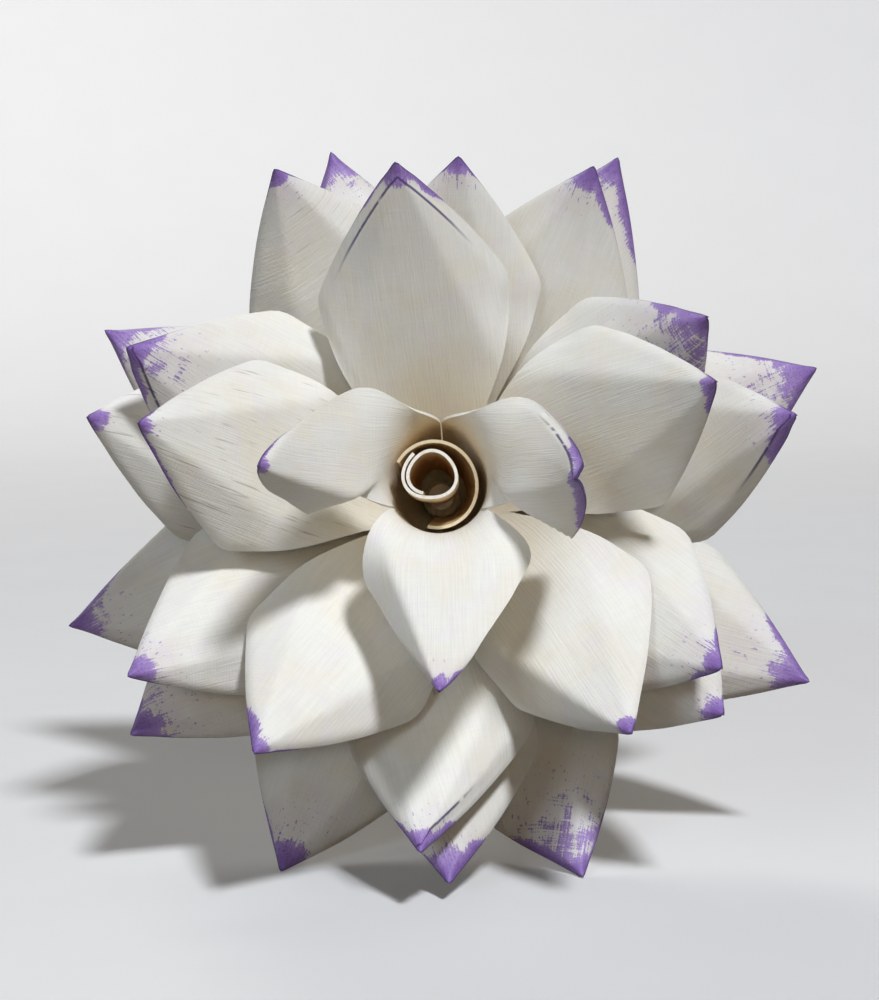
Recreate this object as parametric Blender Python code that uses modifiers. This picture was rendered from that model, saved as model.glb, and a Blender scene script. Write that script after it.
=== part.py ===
"""Paper flower: five cut and curled petal sheets, a rolled paper centre and a wrapped wire stem.

Metres, +Z up. The flower lies as it comes to rest on a flat surface: two outer petal tips and the
cut end of the stem touch it, and the face of the flower looks towards -Y and a little upwards.
Each piece is first shaped in the head's own frame, with the stem along the head's Z axis, the face
towards +Z and the seat of the outermost sheet at height 0. An empty then lays the head down.
"""

import math

import bmesh
import bpy
import numpy as np
from mathutils import Matrix, Vector

# The one template that every sheet is cut from: eight petals in a circle
PETALS_IN_TEMPLATE = 8
HALF_SECTOR = math.pi / PETALS_IN_TEMPLATE
TIP_RADIUS = 0.049
SLIT_RADIUS = 0.013
SHOULDER_RADIUS = 0.033
TIP_SLOPE = 0.90
TIP_BULGE = 11.1
SHOULDER_ROUNDING = 0.0014
SLIT_HALF_GAP = 0.0003
SLIT_OPENS_OVER = 0.003
PAPER = 0.00035

# How a petal's two sides are curled back about lines that meet near its tip
CREASE_SLOPE = 0.32
CREASE_WIDTH = 0.0010
CURL_CURVATURE = 15.0
ARCH_CURVATURE = 5.0
EDGE_ROLL = 32.0
EDGE_ROLL_WIDTH = 0.0018
SECTION_STEPS = 24
PINCH_SPREAD = math.radians(32)
DROOP_FROM = 0.036
LAG_WIDTH = 0.010

# Stem and the hole that each sheet has for it
HOLE_RADIUS = 0.0015
WIRE_RADIUS = 0.0008
WIRE_TOP = 0.0094
TAPE_BORE = 0.0009
TAPE_RADIUS = 0.0012
TAPE_TOP = 0.0090
STEM_LENGTH = 0.160
STEM_SIDES = 12

# The rolled centre. Both rolls narrow towards the bottom, like the cone that holds them.
ROLL_CENTRE = (-0.00075, 0.00060)
ROLL_START = 250.0
ROLL_TURNS = 1.33
ROLL_FIRST_RADIUS = 0.00236
ROLL_PITCH = 0.00050
ROLL_BOTTOM, ROLL_TOP = 0.0155, 0.0296
WRAP_CENTRE = (-0.00035, -0.00025)
WRAP_RADIUS = 0.00458
WRAP_FROM, WRAP_TO = 152.0, -100.0
WRAP_BOTTOM, WRAP_TOP = 0.0135, 0.0278
WRAP_SLANT = 0.0012
WRAP_HIGH_SIDE = math.radians(120.0)
TAPER_FROM, TAPER_BY = 0.0120, 0.0240
TAPER_LEAST = 0.66

# Hot glue beads
GLUE_BORE = 0.00135
GLUE_REACH = 0.0042
GLUE_GAP = 0.00015
TURNED_STEPS = 16

# Mesh density
BASE_ROWS = 2
BLADE_AT = (0.0, 0.17, 0.34, 0.50, 0.66, 0.81, 0.93, 1.0)
COLUMNS = (-1.0, -0.66, -0.36, 0.0, 0.36, 0.66, 1.0)
ROLL_COLUMNS = 24
ROLL_ROWS = 4
WRAP_COLUMNS = 16
TABLE_STEPS = 300

# The outer sheet's two petals that the flower lies on
RESTING_PETALS = (5, 6)

WHITE = (0.86, 0.85, 0.82, 1.0)
GREEN = (0.06, 0.12, 0.05, 1.0)
STEEL = (0.55, 0.55, 0.54, 1.0)
GLUE = (0.80, 0.78, 0.70, 1.0)


class Petal:
    """How one petal is bent, in degrees. Tip is the tip's bearing round the head, anticlockwise."""

    def __init__(self, tip, lean, droop=0, lag=0.0, left=31, right=31, reach=1.0, width=1.0):
        self.tip = tip
        self.lean = lean
        self.droop = droop
        self.lag = lag
        self.left = left
        self.right = right
        self.reach = reach
        self.width = width


class Sheet:
    """One sheet: its petals, the height of its hole, and where its cone turns into the blades."""

    def __init__(self, name, seat, first, petals, lip=(0.013, 0.034), tube=None,
                 flat=(0.013, 0.030), turn=(0.013, 0.049), pinch=0.0, glue=0.0042):
        self.name = name
        self.seat = seat
        self.first = first
        self.petals = petals
        self.lip = lip
        self.cone = math.degrees(math.asin(len(petals) / PETALS_IN_TEMPLATE))
        self.tube = tube
        self.flat = flat
        self.turn = turn
        self.pinch = pinch
        self.glue = glue
        self.inner = HOLE_RADIUS / math.sin(math.radians(self.cone))


SHEETS = [
    Sheet("eight_petal_sheet", 0.0, 20, [
        Petal(22, 77), Petal(65, 72), Petal(109, 94), Petal(153, 92),
        Petal(198, 95), Petal(248, 68), Petal(292, 65), Petal(336, 82)]),
    Sheet("seven_petal_sheet", 0.0012, 14, [
        Petal(12, 51), Petal(66, 60, reach=0.95), Petal(119, 50), Petal(171, 47),
        Petal(220, 71), Petal(273, 68), Petal(322, 51)]),
    Sheet("six_petal_sheet", 0.0026, 32, [
        Petal(31, 38), Petal(88, 58, reach=0.92), Petal(159, 49),
        Petal(214, 62), Petal(269, 64), Petal(327, 49.5)]),
    Sheet("five_petal_sheet", 0.0042, 27, [
        Petal(18, 40), Petal(99, 49), Petal(173, 42), Petal(239, 55),
        Petal(308, 51.5, left=16)]),
    Sheet("three_petal_sheet", 0.0065, 150, [
        Petal(185, 40, droop=-14, left=48, right=5, width=0.84, lag=0.006),
        Petal(273, 60, left=10, right=58, width=0.84),
        Petal(-9, 32, droop=-22, left=10, right=44, width=0.84, lag=-0.006)],
        lip=(0.025, 0.033), tube=(4.0, 0.010, 0.016), flat=(0.026, 0.036),
        turn=(0.022, 0.032), pinch=0.0018, glue=0.0030),
]


def smooth(t):
    t = np.clip(t, 0.0, 1.0)
    return t * t * (3.0 - 2.0 * t)


def half_width(x):
    """Half the width of a petal at a distance x from the template's centre, on its middle line."""
    slit = SLIT_HALF_GAP * smooth((x / math.cos(HALF_SECTOR) - SLIT_RADIUS) / SLIT_OPENS_OVER)
    side = x * math.tan(HALF_SECTOR) - slit
    left = TIP_RADIUS - x
    point = TIP_SLOPE * left - TIP_BULGE * left**2
    apart = np.abs(side - point)
    corner = np.maximum(SHOULDER_ROUNDING - apart, 0.0) ** 2 / (4.0 * SHOULDER_ROUNDING)
    return np.maximum(np.minimum(side, point) - corner, 0.0)


class Blade:
    """Maps the flat template to the bent petal, by way of the curve of its middle line."""

    def __init__(self, sheet, index):
        petal = sheet.petals[index]
        count = len(sheet.petals)
        self.sheet = sheet
        self.petal = petal
        self.base = sheet.first + index * 360.0 / count
        self.shift = (petal.tip - self.base + 180.0) % 360.0 - 180.0
        self.r = np.linspace(sheet.inner, TIP_RADIUS, TABLE_STEPS)
        angle = np.full(TABLE_STEPS, sheet.cone)
        last = sheet.cone
        if sheet.tube:
            last, starts, ends = sheet.tube
            angle += (last - sheet.cone) * smooth((self.r - starts) / (ends - starts))
        starts, ends = sheet.lip
        angle += (petal.lean - last) * smooth((self.r - starts) / (ends - starts))
        angle += petal.droop * smooth((self.r - DROOP_FROM) / (TIP_RADIUS - DROOP_FROM))
        self.angle = np.radians(angle)
        scale = 1.0 + (petal.reach - 1.0) * smooth((self.r - SLIT_RADIUS) / SLIT_OPENS_OVER)
        step = self.r[1] - self.r[0]
        middle = 0.5 * (self.angle[1:] + self.angle[:-1])
        run = 0.5 * (scale[1:] + scale[:-1]) * step
        self.rho = HOLE_RADIUS + np.concatenate([[0.0], np.cumsum(run * np.sin(middle))])
        self.z = sheet.seat + np.concatenate([[0.0], np.cumsum(run * np.cos(middle))])

    def bearing(self, r, y):
        starts, ends = self.sheet.turn
        late = self.petal.lag * np.clip(y * np.sign(self.petal.lag) / LAG_WIDTH, 0.0, 1.0)
        turned = smooth((r - np.abs(late) - starts) / (ends - starts))
        return np.radians(self.base + self.shift * turned)

    def spine(self, r):
        rho = np.interp(r, self.r, self.rho)
        z = np.interp(r, self.r, self.z)
        angle = np.interp(r, self.r, self.angle)
        return rho, z, angle

    def cone_point(self, x, y):
        r = np.hypot(x, y)
        rho, z, _ = self.spine(r)
        spread = np.minimum(r / rho, PETALS_IN_TEMPLATE / len(self.sheet.petals))
        spread = np.arctan2(y, x) * spread
        around = self.bearing(r, y) + spread
        seam = math.radians(self.sheet.first) - math.pi / len(self.sheet.petals)
        off_seam = np.radians(self.base) + spread - seam
        off_seam = (off_seam + math.pi) % (2.0 * math.pi) - math.pi
        near = np.exp(-((off_seam / PINCH_SPREAD) ** 2)) * smooth((r - 0.008) / 0.012)
        rho = rho + self.sheet.pinch * near
        return np.stack([rho * np.cos(around), rho * np.sin(around), z], axis=-1)

    def section(self, x, y):
        """Across and rise of the bent cross-section, summed along the paper from the middle line."""
        width = np.maximum(half_width(x), 1e-5)[..., None]
        crease = (np.maximum(TIP_RADIUS - x, 0.0) * CREASE_SLOPE)[..., None]
        soft = (CREASE_WIDTH * smooth(0.15 + (TIP_RADIUS - x) / 0.012))[..., None]
        bend = np.radians(np.where(y > 0.0, self.petal.left, self.petal.right))
        bend = (bend * smooth((x - 0.016) / 0.014))[..., None]
        roll = (math.radians(EDGE_ROLL) * smooth((x - 0.024) / 0.008))[..., None]
        arch = (ARCH_CURVATURE * smooth((x - 0.030) / 0.016))[..., None]
        part = (np.arange(SECTION_STEPS) + 0.5) / SECTION_STEPS
        along = np.abs(y)[..., None] * part
        past = np.maximum(along - crease, 0.0)
        turn = bend * (smooth((along - crease + soft) / (2.0 * soft)) + CURL_CURVATURE * past)
        turn = turn + roll * smooth((along - width + EDGE_ROLL_WIDTH) / EDGE_ROLL_WIDTH)
        turn = turn + 2.0 * arch * along
        step = np.abs(y) / SECTION_STEPS
        return np.cos(turn).sum(-1) * step * np.sign(y), -np.sin(turn).sum(-1) * step

    def panel_point(self, x, y):
        rho, z, angle = self.spine(x)
        y = y * (1.0 + (self.petal.width - 1.0) * smooth((TIP_RADIUS - x) / 0.008))
        side, lift = self.section(x, y)
        around = self.bearing(x, y)
        out = rho - lift * np.cos(angle)
        up = z + lift * np.sin(angle)
        cos, sin = np.cos(around), np.sin(around)
        return np.stack([out * cos - side * sin, out * sin + side * cos, up], axis=-1)

    def point(self, x, y):
        r = np.hypot(x, y)
        starts, ends = self.sheet.flat
        flat = smooth((r - starts) / (ends - starts))[..., None]
        return self.cone_point(x, y) * (1.0 - flat) + self.panel_point(x, y) * flat


def template_point(row, column, sheet):
    """A point of the flat petal. Row runs from -1 at the hole through 0 at the slit to 1 at the tip."""
    if row < 0.0:
        radius = sheet.inner + (SLIT_RADIUS - sheet.inner) * (row + 1.0)
        turn = column * HALF_SECTOR
        return radius * math.cos(turn), radius * math.sin(turn)
    middle = SLIT_RADIUS + (TIP_RADIUS - SLIT_RADIUS) * row
    shoulder = SHOULDER_RADIUS * math.cos(HALF_SECTOR)
    if middle < SHOULDER_RADIUS:
        edge = middle * math.cos(HALF_SECTOR)
    else:
        above = (middle - SHOULDER_RADIUS) / (TIP_RADIUS - SHOULDER_RADIUS)
        edge = shoulder + (TIP_RADIUS - shoulder) * above
    width = float(half_width(edge))
    crease = min((TIP_RADIUS - middle) * CREASE_SLOPE, 0.6 * width)
    crease = crease + (0.5 * width - crease) * (1.0 - float(smooth(row / 0.3)))
    if abs(column) < 0.5:
        y = crease * abs(column) / 0.5
    else:
        y = crease + (width - crease) * (abs(column) - 0.5) / 0.5
    share = y / width if width > 1e-9 else 0.0
    return middle + (edge - middle) * share**2, math.copysign(y, column)


def sheet_mesh(sheet):
    mesh = bpy.data.meshes.new(sheet.name)
    bm = bmesh.new()
    rows = [-1.0 + i / BASE_ROWS for i in range(BASE_ROWS)] + list(BLADE_AT)
    for index in range(len(sheet.petals)):
        blade = Blade(sheet, index)
        grid = bmesh.ops.create_grid(
            bm, x_segments=len(COLUMNS) - 1, y_segments=len(rows) - 1, size=1.0)
        for vert in grid["verts"]:
            column = COLUMNS[round((vert.co.x + 1.0) / 2.0 * (len(COLUMNS) - 1))]
            row = rows[round((vert.co.y + 1.0) / 2.0 * (len(rows) - 1))]
            x, y = template_point(row, column, sheet)
            vert.co = Vector(blade.point(np.float64(x), np.float64(y)).tolist())
    bmesh.ops.remove_doubles(bm, verts=bm.verts, dist=1e-6)
    bm.to_mesh(mesh)
    bm.free()
    return mesh


def material(name, colour, roughness, metallic=0.0):
    made = bpy.data.materials.new(name)
    made.use_nodes = True
    shader = made.node_tree.nodes["Principled BSDF"]
    shader.inputs["Base Color"].default_value = colour
    shader.inputs["Roughness"].default_value = roughness
    shader.inputs["Metallic"].default_value = metallic
    made.diffuse_color = colour
    return made


def add_object(name, data, finish, collection, parent):
    made = bpy.data.objects.new(name, data)
    data.materials.append(finish)
    collection.objects.link(made)
    made.parent = parent
    return made


def add_sheet(sheet, collection, head):
    finish = material(sheet.name + "_paint", WHITE, 0.7)
    made = add_object(sheet.name, sheet_mesh(sheet), finish, collection, head)
    thick = made.modifiers.new("paper", "SOLIDIFY")
    thick.thickness = PAPER
    thick.offset = 0.0
    made.data.shade_smooth()
    return made


def wall_mesh(name, columns, rows, point):
    """An upright paper wall: point(along, up) with both from 0 to 1."""
    mesh = bpy.data.meshes.new(name)
    bm = bmesh.new()
    grid = bmesh.ops.create_grid(bm, x_segments=columns, y_segments=rows, size=1.0)
    for vert in grid["verts"]:
        vert.co = Vector(point((vert.co.x + 1.0) / 2.0, (vert.co.y + 1.0) / 2.0))
    bm.to_mesh(mesh)
    bm.free()
    return mesh


def wall_height(bottom, top, up):
    """Half of the rows end where the taper does."""
    if up < 0.5:
        return bottom + (TAPER_BY - bottom) * 2.0 * up
    return TAPER_BY + (top - TAPER_BY) * (2.0 * up - 1.0)


def taper(z):
    up = min(max((z - TAPER_FROM) / (TAPER_BY - TAPER_FROM), 0.0), 1.0)
    return TAPER_LEAST + (1.0 - TAPER_LEAST) * up


def roll_point(along, up):
    turned = along * ROLL_TURNS
    bearing = math.radians(ROLL_START - 360.0 * turned)
    radius = ROLL_FIRST_RADIUS + ROLL_PITCH * turned
    z = wall_height(ROLL_BOTTOM, ROLL_TOP, up)
    scale = taper(z)
    x = ROLL_CENTRE[0] + radius * math.cos(bearing)
    y = ROLL_CENTRE[1] + radius * math.sin(bearing)
    return x * scale, y * scale, z


def wrap_point(along, up):
    bearing = math.radians(WRAP_FROM + (WRAP_TO - WRAP_FROM) * along)
    top = WRAP_TOP + WRAP_SLANT * math.cos(bearing - WRAP_HIGH_SIDE)
    z = wall_height(WRAP_BOTTOM, top, up)
    scale = taper(z)
    x = WRAP_CENTRE[0] + WRAP_RADIUS * math.cos(bearing)
    y = WRAP_CENTRE[1] + WRAP_RADIUS * math.sin(bearing)
    return x * scale, y * scale, z


def add_paper_wall(name, mesh, collection, head):
    made = add_object(name, mesh, material(name + "_paint", WHITE, 0.7), collection, head)
    thick = made.modifiers.new("paper", "SOLIDIFY")
    thick.thickness = PAPER
    thick.offset = 0.0
    made.data.shade_smooth()
    return made


def turned_mesh(name, profile):
    """A closed outline, or one that starts and ends on the axis, as a loop of edges to turn."""
    mesh = bpy.data.meshes.new(name)
    bm = bmesh.new()
    verts = [bm.verts.new((radius, 0.0, z)) for radius, z in profile]
    closed = profile[0][0] > 0.0
    for index in range(len(verts) - (0 if closed else 1)):
        bm.edges.new((verts[index], verts[(index + 1) % len(verts)]))
    bm.to_mesh(mesh)
    bm.free()
    return mesh


def add_turned(name, profile, finish, collection, head, steps=TURNED_STEPS):
    made = add_object(name, turned_mesh(name, profile), finish, collection, head)
    turn = made.modifiers.new("turned", "SCREW")
    turn.axis = "Z"
    turn.steps = steps
    turn.render_steps = steps
    turn.use_merge_vertices = True
    turn.merge_threshold = 1e-6
    turn.use_smooth_shade = True
    return made


def cone_height(sheet, radius, side):
    """Height of a sheet's cone at a radius, moved by the glue's gap to one side of the paper."""
    slope = math.radians(sheet.cone)
    clear = (PAPER / 2.0 + GLUE_GAP) / math.sin(slope)
    return sheet.seat + (radius - HOLE_RADIUS) / math.tan(slope) + side * clear


def add_glue_between(outer, inner, collection, head):
    name = "glue_under_" + inner.name.replace("_sheet", "")
    reach = inner.glue
    above = cone_height(inner, reach, -1.0)
    below = cone_height(outer, reach, 1.0)
    profile = [
        (GLUE_BORE, cone_height(inner, GLUE_BORE, -1.0)),
        (reach, above),
        (reach + 0.0004, 0.5 * (above + below)),
        (reach, below),
        (GLUE_BORE, cone_height(outer, GLUE_BORE, 1.0)),
    ]
    add_turned(name, profile, material(name, GLUE, 0.35), collection, head)


def add_stem(collection, head):
    wire = bpy.data.meshes.new("stem_wire")
    bm = bmesh.new()
    bmesh.ops.create_cone(
        bm, cap_ends=True, segments=STEM_SIDES, radius1=WIRE_RADIUS, radius2=WIRE_RADIUS,
        depth=STEM_LENGTH + WIRE_TOP)
    bmesh.ops.translate(bm, verts=bm.verts, vec=(0.0, 0.0, (WIRE_TOP - STEM_LENGTH) / 2.0))
    bm.to_mesh(wire)
    bm.free()
    add_object("stem_wire", wire, material("wire", STEEL, 0.35, 1.0), collection, head)
    tape = [(TAPE_BORE, TAPE_TOP), (TAPE_RADIUS, TAPE_TOP),
            (TAPE_RADIUS, -STEM_LENGTH), (TAPE_BORE, -STEM_LENGTH)]
    add_turned("stem_tape", tape, material("tape", GREEN, 0.8), collection, head, STEM_SIDES)


def add_glue(collection, head):
    back = [(GLUE_BORE, -0.00035), (0.0038, -0.00035), (0.0036, -0.0012),
            (0.0026, -0.0024), (GLUE_BORE, -0.0034)]
    add_turned("glue_behind_head", back, material("glue_behind_head", GLUE, 0.35),
               collection, head)
    for outer, inner in zip(SHEETS, SHEETS[1:]):
        add_glue_between(outer, inner, collection, head)
    plug = [(0.0, 0.0152), (0.0015, 0.0149), (0.0021, 0.0136), (0.0022, 0.0115),
            (0.0018, 0.0099), (0.0, 0.0097)]
    add_turned("glue_in_centre", plug, material("glue_in_centre", GLUE, 0.35),
               collection, head)


def lay_down(head):
    """Turns and moves the head so that two outer petal tips and the stem's end touch z = 0."""
    outer = SHEETS[0]
    touching = [Blade(outer, index).point(np.float64(TIP_RADIUS), np.float64(0.0))
                for index in RESTING_PETALS]
    left, right = (Vector(tip.tolist()) for tip in touching)
    end = Vector((0.0, -TAPE_RADIUS, -STEM_LENGTH))
    up = (right - left).cross(end - left).normalized()
    if up.y < 0.0:
        up = -up
    axis = Vector((0.0, 0.0, 1.0))
    back = -(axis - axis.dot(up) * up).normalized()
    side = back.cross(up)
    turn = Matrix((side, back, up)).to_4x4()
    head.matrix_world = turn
    bpy.context.view_layer.update()
    graph = bpy.context.evaluated_depsgraph_get()
    low = np.full(3, np.inf)
    high = -low
    for piece in head.children:
        evaluated = piece.evaluated_get(graph)
        mesh = evaluated.to_mesh()
        points = np.empty(len(mesh.vertices) * 3, np.float32)
        mesh.vertices.foreach_get("co", points)
        evaluated.to_mesh_clear()
        placed = points.reshape(-1, 3) @ np.array(turn)[:3, :3].T
        low = np.minimum(low, placed.min(axis=0))
        high = np.maximum(high, placed.max(axis=0))
    shift = Vector((-(low[0] + high[0]) / 2.0, -(low[1] + high[1]) / 2.0, -low[2]))
    head.matrix_world = Matrix.Translation(shift) @ turn
    bpy.context.view_layer.update()


def clear_scene():
    for old in list(bpy.data.objects):
        bpy.data.objects.remove(old)


def main():
    clear_scene()
    collection = bpy.data.collections.new("paper_flower")
    bpy.context.scene.collection.children.link(collection)
    head = bpy.data.objects.new("head", None)
    collection.objects.link(head)
    for sheet in SHEETS:
        add_sheet(sheet, collection, head)
    roll = wall_mesh("one_petal_roll", ROLL_COLUMNS, ROLL_ROWS, roll_point)
    add_paper_wall("one_petal_roll", roll, collection, head)
    wrap = wall_mesh("two_petal_wrap", WRAP_COLUMNS, ROLL_ROWS, wrap_point)
    add_paper_wall("two_petal_wrap", wrap, collection, head)
    add_stem(collection, head)
    add_glue(collection, head)
    lay_down(head)


main()
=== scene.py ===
# %% [markdown]
# # A painted paper flower
#
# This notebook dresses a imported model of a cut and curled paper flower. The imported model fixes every
# size and place. Here each sheet is cut again much finer, painted ivory white, dry-brushed purple on
# its points and edges, and lit on a pale studio floor.

import math

import bmesh
import bpy
import numpy as np
from mathutils import Matrix, Vector


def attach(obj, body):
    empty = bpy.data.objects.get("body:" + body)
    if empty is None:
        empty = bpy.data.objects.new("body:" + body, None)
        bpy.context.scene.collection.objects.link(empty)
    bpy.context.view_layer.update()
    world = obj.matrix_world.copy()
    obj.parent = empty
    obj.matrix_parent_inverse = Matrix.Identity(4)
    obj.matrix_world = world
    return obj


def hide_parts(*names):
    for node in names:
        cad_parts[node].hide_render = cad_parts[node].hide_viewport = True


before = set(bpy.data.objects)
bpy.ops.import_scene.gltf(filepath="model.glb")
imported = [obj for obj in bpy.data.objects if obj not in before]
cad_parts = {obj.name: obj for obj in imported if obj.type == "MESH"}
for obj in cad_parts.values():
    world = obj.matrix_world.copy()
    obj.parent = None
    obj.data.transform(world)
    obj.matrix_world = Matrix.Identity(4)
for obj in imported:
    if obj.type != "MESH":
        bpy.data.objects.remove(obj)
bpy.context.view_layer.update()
print("packed nodes:", ", ".join(sorted(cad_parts)))

# %% [markdown]
# ## How the flower lies
#
# All petals are described in the flower's own frame: the stem runs down its Z axis and the face looks
# along +Z. The finished flower lies on two petal points and the end of its stem, so one matrix turns
# that frame over. It is built from two plain angles, since twelve typed numbers would tell nobody
# anything.

# %% The frame of the flower's head
MM = 0.001
FACE_LIFT = math.radians(14.0062249)
HEAD_ROLL = math.radians(-1.2214129)
HEAD_AT = Vector((0.0008002, -0.0536973, 0.0399702))
HEAD = (
    Matrix.Translation(HEAD_AT)
    @ Matrix.Rotation(math.pi / 2 - FACE_LIFT, 4, "X")
    @ Matrix.Rotation(HEAD_ROLL, 4, "Z")
)
print("the face looks", [round(value, 2) for value in HEAD.col[2][:3]])

# %% [markdown]
# ## Small curves used everywhere
#
# `smooth` eases from 0 to 1. Every bend of the paper is an angle eased in over a few millimetres, since
# paper bends over a short roll and never in a perfect corner.

# %% Easing and seeded waviness
RIPPLE_WAVES = 5
RIPPLE_FULL = 3.2


def smooth(t):
    t = np.clip(t, 0.0, 1.0)
    return t * t * (3.0 - 2.0 * t)


def rising(value, start, over):
    """0 up to start, then easing to 1 over the given stretch."""
    return smooth((value - start) / over)


def ripple(seed, x, y, wave):
    """A smooth, seeded unevenness between about -1 and 1, with the given wavelength."""
    rng = np.random.default_rng(seed)
    total = np.zeros(np.broadcast(x, y).shape)
    for _ in range(RIPPLE_WAVES):
        turn, phase = rng.uniform(0.0, 2.0 * math.pi, 2)
        rate = 2.0 * math.pi / (wave * rng.uniform(0.6, 1.6))
        total = total + np.sin(rate * (x * math.cos(turn) + y * math.sin(turn)) + phase)
    return total / RIPPLE_FULL


print("ripple at the origin:", round(float(ripple(1, np.float64(0), np.float64(0), 0.01)), 3))

# %% [markdown]
# ## The petal template
#
# Every layer is cut from one paper template: a circle of eight pointed petals with slits that stop
# short of the middle. The outline is a formula for half the petal's width along its middle line, so
# the same cut serves every petal. A hand-drawn curve would work, but the formula also gives each
# point's distance from the cut edge, which the purple paint needs later.

# %% Sizes of the flat template
TEMPLATE_PETALS = 8
HALF_SECTOR = math.pi / TEMPLATE_PETALS
TIP_RADIUS = 0.04893
SLIT_RADIUS = 0.013
SHOULDER_RADIUS = 0.033
TIP_SLOPE = 0.90
TIP_BULGE = 11.1
SHOULDER_ROUNDING = 0.0014
SLIT_HALF_GAP = 0.0003
SLIT_OPENS_OVER = 0.003
HOLE_RADIUS = 0.0015
PAPER = 0.00035


def half_width(x, half_gap=SLIT_HALF_GAP):
    """Half a petal's width at distance x from the template's centre, on its middle line."""
    slit = half_gap * rising(x / math.cos(HALF_SECTOR), SLIT_RADIUS, SLIT_OPENS_OVER)
    side = x * math.tan(HALF_SECTOR) - slit
    left = TIP_RADIUS - x
    point = TIP_SLOPE * left - TIP_BULGE * left**2
    corner = np.maximum(SHOULDER_ROUNDING - np.abs(side - point), 0.0) ** 2
    corner = corner / (4.0 * SHOULDER_ROUNDING)
    return np.maximum(np.minimum(side, point) - corner, 0.0)


widest = float(half_width(np.linspace(SLIT_RADIUS, TIP_RADIUS, 99)).max())
print("widest half width:", round(widest / MM, 2), "mm")

# %% [markdown]
# ## How a petal is bent
#
# A maker curls each petal back at both sides of its middle with a bone folder, so that a flat middle
# facet is left with a softer facet on each side. The cross-section is found by adding up the turning
# angle from the middle line outwards, which keeps the paper's length true. Bending with a Lattice or
# Simple Deform would stretch it.

# %% One touch of the brush
class Brush:
    """Where the purple brush touched one petal, in mm, with left and right as seen from its foot.

    Point is the size of the solid purple at the point. Left and right are edge bands, each a width
    and how far it runs from the point. Dry is how far broken threads run in, and turn is
    the angle of the strokes in degrees. From 0 to 1, hatch is how much the strokes cross, and
    streaks how strongly the white shows grey brush lines.
    """

    def __init__(self, point, left=(0.3, 4), right=(0.3, 4), dry=4.0, turn=0.0, hatch=0.3,
                 streaks=0.1):
        self.point = point
        self.left = left
        self.right = right
        self.dry = dry
        self.turn = math.radians(turn)
        self.hatch = hatch
        self.streaks = streaks


print("a plain touch runs", Brush(2.0).left[1], "mm along the edge")

# %% One petal and one sheet, as the maker shaped them
CREASE_SLOPE = 0.32


class Petal:
    """Tip is the bearing of the point round the head, lean its angle from the stem, in degrees.

    Droop bends the point down, and left and right are how far the sides are bent back. Lag holds
    one side back where the petal turns, reach shortens it and widths narrow its halves. Margins
    are the widths in mm of thin strips turned back along the edges. Folds say how fast the left
    and right folds part from the middle line behind the point.
    """

    def __init__(self, tip, lean, paint, droop=0, lag=0.0, left=31, right=31,
                 reach=1.0, widths=(1.0, 1.0), margins=(0.0, 0.0),
                 folds=(CREASE_SLOPE, CREASE_SLOPE)):
        self.tip = tip
        self.lean = lean
        self.paint = paint
        self.droop = droop
        self.lag = lag
        self.left = left
        self.right = right
        self.reach = reach
        self.widths = widths
        self.margins = margins
        self.folds = folds


class Sheet:
    """Seat is the height of its hole, and first the bearing of its first petal.

    Lip, flat and turn say between which radii it leans out, leaves the round cone and turns to its
    tips. Tube is the angle and radii of a narrow neck. Pinch pushes the paper out at the seam. The
    last value is how much tan is laid at its foot: partly thin paint, and partly painted shade deep
    in the throat.
    """

    def __init__(self, node, seat, first, petals, lip=(0.013, 0.034), tube=None,
                 flat=(0.013, 0.030), turn=(0.013, 0.049), pinch=0.0, half_gap=SLIT_HALF_GAP,
                 thin_paint_and_shade=0.3):
        self.node = node
        self.seat = seat
        self.first = first
        self.petals = petals
        self.lip = lip
        self.tube = tube
        self.flat = flat
        self.turn = turn
        self.pinch = pinch
        self.half_gap = half_gap
        self.thin_paint_and_shade = thin_paint_and_shade
        self.cone = math.degrees(math.asin(len(petals) / TEMPLATE_PETALS))
        self.inner = HOLE_RADIUS / math.sin(math.radians(self.cone))


fold_at_shoulder = CREASE_SLOPE * (TIP_RADIUS - SHOULDER_RADIUS)
print("a fold is", round(fold_at_shoulder / MM, 1), "mm from the middle line at the shoulder")

# %% [markdown]
# ## The five cut sheets
#
# Each inner sheet has fewer petals than the one round it, so it closes into a steeper cone. The leans
# and bearings below are how the maker's hand left each petal. The paint differs from petal to petal
# as well: the outer layers caught more of the dry brush than the inner ones.

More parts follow.
